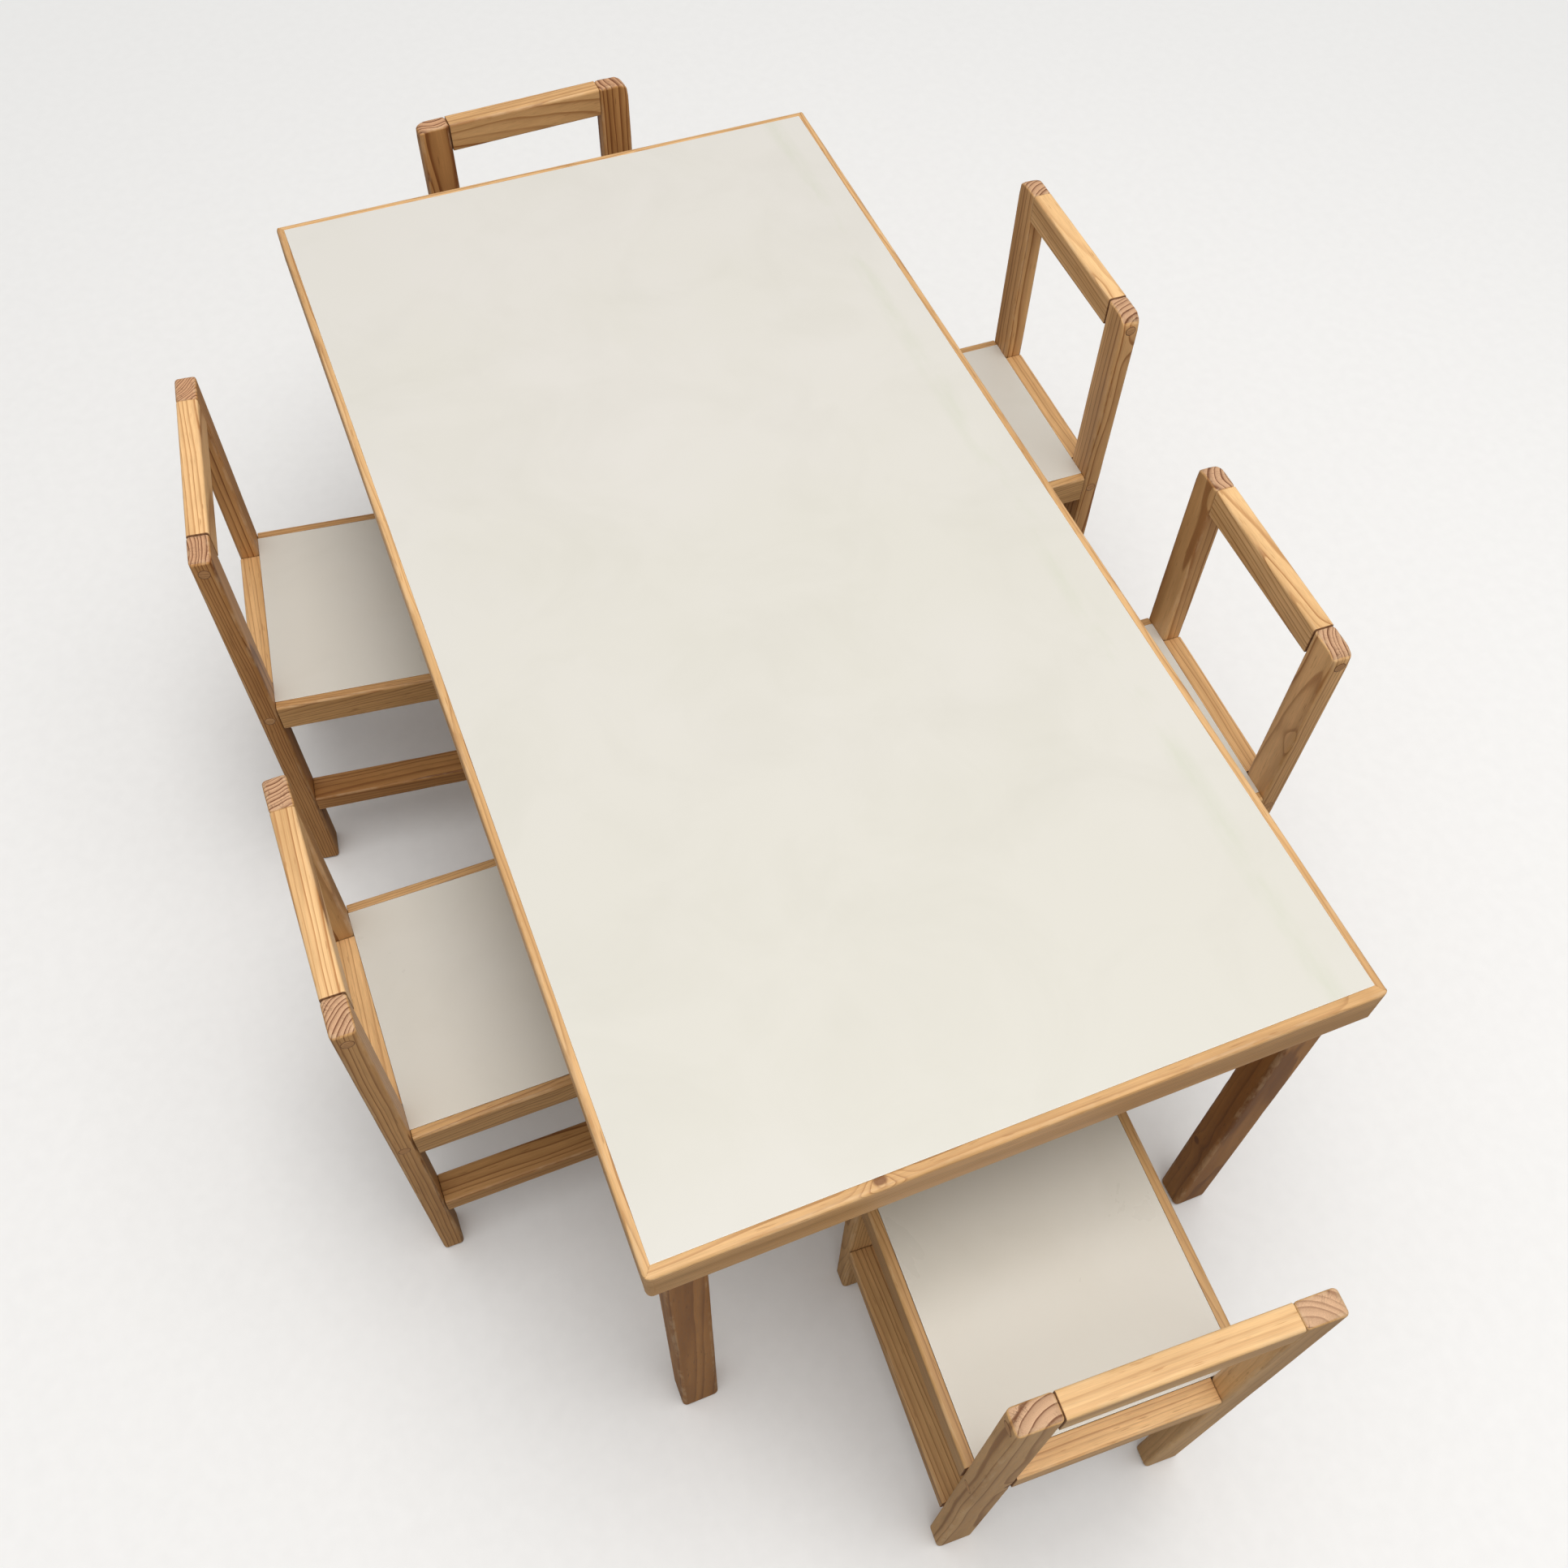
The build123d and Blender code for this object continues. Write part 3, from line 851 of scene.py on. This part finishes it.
def mitred_rail(name, outer_line, lip_line, low_line):
    """An edge rail between two mitred corners, with a lip beside the top panel.

    Each line is the (start, end) of a long edge: the outer one, the lip's inner one, and the
    inner one under the panel.
    """
    outer_start, outer_end = outer_line
    lip_start, lip_end = lip_line
    low_start, low_end = low_line
    length = (outer_end - outer_start).length
    way = (outer_end - outer_start).normalized()
    across = lip_start - outer_start
    inwards = across - way * across.dot(way)
    lip = inwards.length
    inwards.normalize()
    thick = (low_start - outer_start).dot(inwards)
    height = table_top - rail_low
    section = rail_section(lip, thick, height)
    # stations along the rail, closer together at its rounded corners
    close = [0.0, 0.0012, 0.0025, 0.004, TABLE_CORNER_ROUND]
    count = max(8, round(length / 0.02))
    even = [i / count * length for i in range(count + 1)]
    stations = sorted(set(close + [length - c for c in close] +
                          [s for s in even if 0.01 < s < length - 0.01]))
    # the pith lies below and to one side, so that rings show as lines on top and outside
    pith_angle = rng.choice((1.0, 2.14)) + rng.uniform(-0.1, 0.1)
    pith = (0.09 * math.cos(pith_angle), 0.09 * math.sin(pith_angle))
    shift = rng.uniform(1, 30)
    lip_slopes = (across.dot(way) / lip, (outer_end - lip_end).dot(way) / lip)
    low_slopes = ((low_start - outer_start).dot(way) / thick, (outer_end - low_end).dot(way) / thick)
    points = []
    grain = []
    edge = []
    for station in stations:
        for depth, z, kind in section:
            # pull the ends back along the mitre, and round the outer corner in plan
            start_slope, end_slope = lip_slopes if depth <= lip else low_slopes
            s = min(max(station, depth * start_slope), length - depth * end_slope)
            cut = max(TABLE_CORNER_ROUND - min(s, length - s), 0)
            inset = TABLE_CORNER_ROUND - math.sqrt(max(TABLE_CORNER_ROUND ** 2 - cut ** 2, 0))
            p = outer_start + way * s + inwards * max(depth + SKIN, inset)
            points.append((p.x, p.y, rail_low + z + (-SKIN if z > height / 2 else SKIN)))
            grain.append((depth + pith[0], z + pith[1], s + shift))
            edge.append(kind)
    size = len(section)
    last = size * (len(stations) - 1)
    quads = []
    for start in range(0, last, size):
        for i in range(size):
            j = (i + 1) % size
            quads.append((start + i, start + j, start + size + j, start + size + i))
    quads.append(tuple(reversed(range(size))))
    quads.append(tuple(range(last, last + size)))
    mesh = bpy.data.meshes.new(name + "_look")
    mesh.from_pydata(points, [], quads)
    wood = (0.32, rng.uniform(0.0019, 0.0024), 0.8, 0.2)
    tag_wood(mesh, grain, [wood] * len(points), edge, [0.0] * len(quads))
    if way.cross(inwards).z > 0:
        mesh.flip_normals()
    link_piece(name + "_look", mesh, PINE, "table", name)


def plan_corners(x_span, y_span):
    """The corners of a rectangle seen from above, by (which x, which y)."""
    return {(i, j): Vector((x_span[i], y_span[j], 0)) for i in (0, 1) for j in (0, 1)}


def build_table():
    """Edge rails, top panel, legs, battens and corner blocks."""
    thick = TABLE_RAIL_THICKNESS
    outer = plan_corners(table_x, table_y)
    lip = plan_corners((table_low.x, table_high.x), (table_low.y, table_high.y))
    low = plan_corners((table_x[0] + thick, table_x[1] - thick), (table_y[0] + thick, table_y[1] - thick))
    for name, a, b in (("near", (1, 0), (1, 1)), ("far", (0, 1), (0, 0)),
                       ("left", (0, 0), (1, 0)), ("right", (1, 1), (0, 1))):
        mitred_rail("table_" + name + "_rail", (outer[a], outer[b]), (lip[a], lip[b]), (low[a], low[b]))

    def piece(node, sticks, material=PINE, slot="pine"):
        make_piece(node + "_look", sticks, Matrix.Identity(4), material, "table", node)

    panel = Stick(list(zip(table_low, table_high)), 0, [(LAMINATE_ROUND, LAMINATE_ROUND)] * 3,
                  step=[0.05] * 3, wear=0)
    piece("table_top_panel", [panel], TABLE_LAMINATE, "laminate")
    for end in ("near", "far"):
        for side in ("left", "right"):
            node = "table_leg_" + end + "_" + side
            # the legs take the darkest tone, partly their own wood and partly painted shade for standing
            # under the top
            leg = Stick(list(zip(*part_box(node))), 2,
                        [(TABLE_LEG_ROUND, TABLE_LEG_ROUND)] * 2 + [(0.003, 0.0008)],
                        rng.uniform(0.008, 0.011), tone=1.0, figure=0.65, red=0.9)
            piece(node, [leg])

    # battens run across the table, and corner blocks along it
    for node, along in (("table_battens", 1), ("table_corner_blocks", 0)):
        piece(node, [Stick(list(zip(*solid)), along, [(BLOCK_ROUND, BLOCK_ROUND)] * 3,
                           rng.uniform(0.003, 0.005), tone=rng.uniform(0.3, 0.6))
                     for solid in loose_boxes(frame["nodes"][node])])


def loose_boxes(piece):
    """The box of each separate solid in a CAD node."""
    mesh = piece.data
    group = list(range(len(mesh.vertices)))

    def top(i):
        while group[i] != i:
            group[i] = group[group[i]]
            i = group[i]
        return i

    keys = {}
    for i, vertex in enumerate(mesh.vertices):
        key = tuple(round(c, 6) for c in vertex.co)
        group[i] = keys.setdefault(key, i)
    for link in mesh.edges:
        a, b = top(link.vertices[0]), top(link.vertices[1])
        group[a] = b
    boxes = {}
    for i, vertex in enumerate(mesh.vertices):
        boxes.setdefault(top(i), []).append(tuple(vertex.co))
    found = [(Vector(np.min(c, axis=0)), Vector(np.max(c, axis=0))) for c in boxes.values()]
    return sorted(found, key=lambda b: (round(b[0].x, 3), round(b[0].y, 3)))


# ---- Stage, light and camera ---------------------------------------------

def build_stage():
    """The floor, which is not part of the object."""
    mesh = bpy.data.meshes.new("floor")
    corners = [(-FLOOR_REACH, -FLOOR_REACH, 0), (FLOOR_REACH, -FLOOR_REACH, 0),
               (FLOOR_REACH, FLOOR_REACH, 0), (-FLOOR_REACH, FLOOR_REACH, 0)]
    mesh.from_pydata(corners, [], [(0, 1, 2, 3)])
    mesh.materials.append(floor_material())
    floor = bpy.data.objects.new("floor", mesh)
    floor.location.z = -FLOOR_DROP
    bpy.context.scene.collection.objects.link(floor)


def build_ceiling_light():
    """The one lamp."""
    data = bpy.data.lights.new("ceiling_light", "AREA")
    data.shape = "DISK"
    data.size = LIGHT_WIDTH
    data.energy = LIGHT_POWER
    data.color = LIGHT_COLOUR
    lamp = bpy.data.objects.new("ceiling_light", data)
    lamp.location = LIGHT_PLACE
    lamp.rotation_euler = (LIGHT_AIM - LIGHT_PLACE).to_track_quat("-Z", "Y").to_euler()
    bpy.context.scene.collection.objects.link(lamp)


def build_room():
    """The light that comes from all round, and what the camera sees behind the floor."""
    world = bpy.data.worlds.new("soft_room")
    world.use_nodes = True
    tree = world.node_tree
    direction = tree.nodes.new("ShaderNodeTexCoord").outputs["Generated"]
    height = tree.nodes.new("ShaderNodeSeparateXYZ")
    tree.links.new(direction, height.inputs[0])
    sky = tree.nodes.new("ShaderNodeValToRGB")
    for element, colour in zip(sky.color_ramp.elements, ROOM_COLOURS):
        element.color = colour
    tree.links.new(height.outputs[2], sky.inputs[0])
    lit = tree.nodes["Background"]
    tree.links.new(sky.outputs[0], lit.inputs[0])
    backdrop = tree.nodes.new("ShaderNodeBackground")
    backdrop.inputs[0].default_value = BACKDROP
    seen = tree.nodes.new("ShaderNodeLightPath").outputs["Is Camera Ray"]
    both = tree.nodes.new("ShaderNodeMixShader")
    tree.links.new(seen, both.inputs[0])
    tree.links.new(lit.outputs[0], both.inputs[1])
    tree.links.new(backdrop.outputs[0], both.inputs[2])
    tree.links.new(both.outputs[0], tree.nodes["World Output"].inputs[0])
    bpy.context.scene.world = world


def build_camera():
    """The camera that took the photograph, as far as it could be worked out."""
    data = bpy.data.cameras.new("camera")
    data.lens = CAMERA_LENS
    data.sensor_width = 36
    data.shift_x, data.shift_y = CAMERA_SHIFT
    data.clip_end = 100
    camera = bpy.data.objects.new("camera", data)
    heading = math.radians(CAMERA_HEADING)
    drop = math.radians(CAMERA_DROP)
    ahead = Vector((math.sin(heading) * math.cos(drop), math.cos(heading) * math.cos(drop),
                    -math.sin(drop)))
    turn = ahead.to_track_quat("-Z", "Y").to_matrix().to_4x4()
    roll = Matrix.Rotation(math.radians(CAMERA_ROLL), 4, "Z")
    camera.matrix_world = Matrix.Translation(table_middle + CAMERA_PLACE) @ turn @ roll
    bpy.context.scene.collection.objects.link(camera)
    bpy.context.scene.camera = camera


def paint_node(node, material):
    """Give a CAD node that stays in the picture its material."""
    slots = frame["nodes"][node].data.materials
    slots.clear()
    slots.append(material)


for chair_name in CHAIR_NAMES:
    build_chair(chair_name)
    paint_node(chair_name + "_screws", STEEL)
    paint_node(chair_name + "_plugs_and_dowels", DOWEL)
build_table()
paint_node("table_fasteners", STEEL)
build_stage()
build_room()
build_ceiling_light()
build_camera()
bpy.context.scene.view_settings.view_transform = "Standard"
